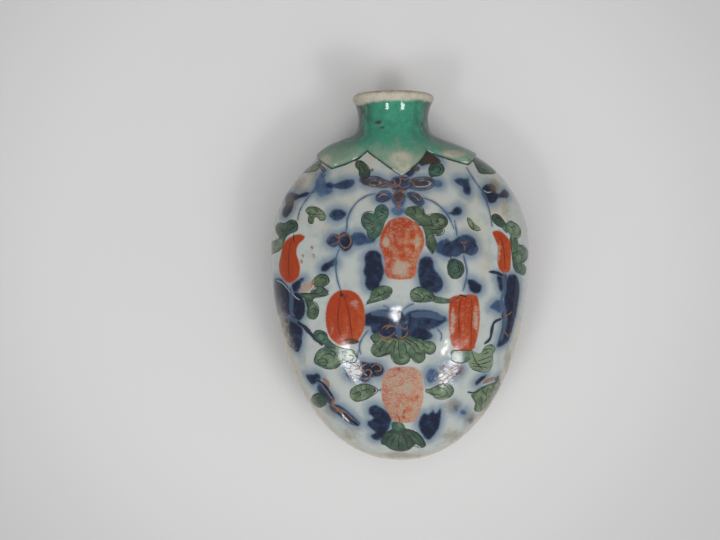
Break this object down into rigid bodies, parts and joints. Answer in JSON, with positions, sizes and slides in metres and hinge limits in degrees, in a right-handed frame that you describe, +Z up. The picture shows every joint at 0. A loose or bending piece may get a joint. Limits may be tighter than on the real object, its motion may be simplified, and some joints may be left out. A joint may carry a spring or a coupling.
{
  "type": "porcelain snuff bottle",
  "caption": "Flattened ovoid porcelain snuff bottle with a short waisted neck rising from a moulded calyx collar of pointed lappets, painted with fruit, leaves and flowers",
  "frame": {"origin": "middle of the bounding box, on the surface the bottle lies on", "axes": "+Y along the bottle's axis towards the mouth, +X across its width, +Z up from its back to its painted front"},
  "size_m": [0.0496, 0.07, 0.0247],
  "materials": {
    "glazed_porcelain": "glossy porcelain glaze with painted enamels"
  },
  "bodies": {
    "root": {"bottle": "glazed_porcelain"}
  },
  "joints": []
}
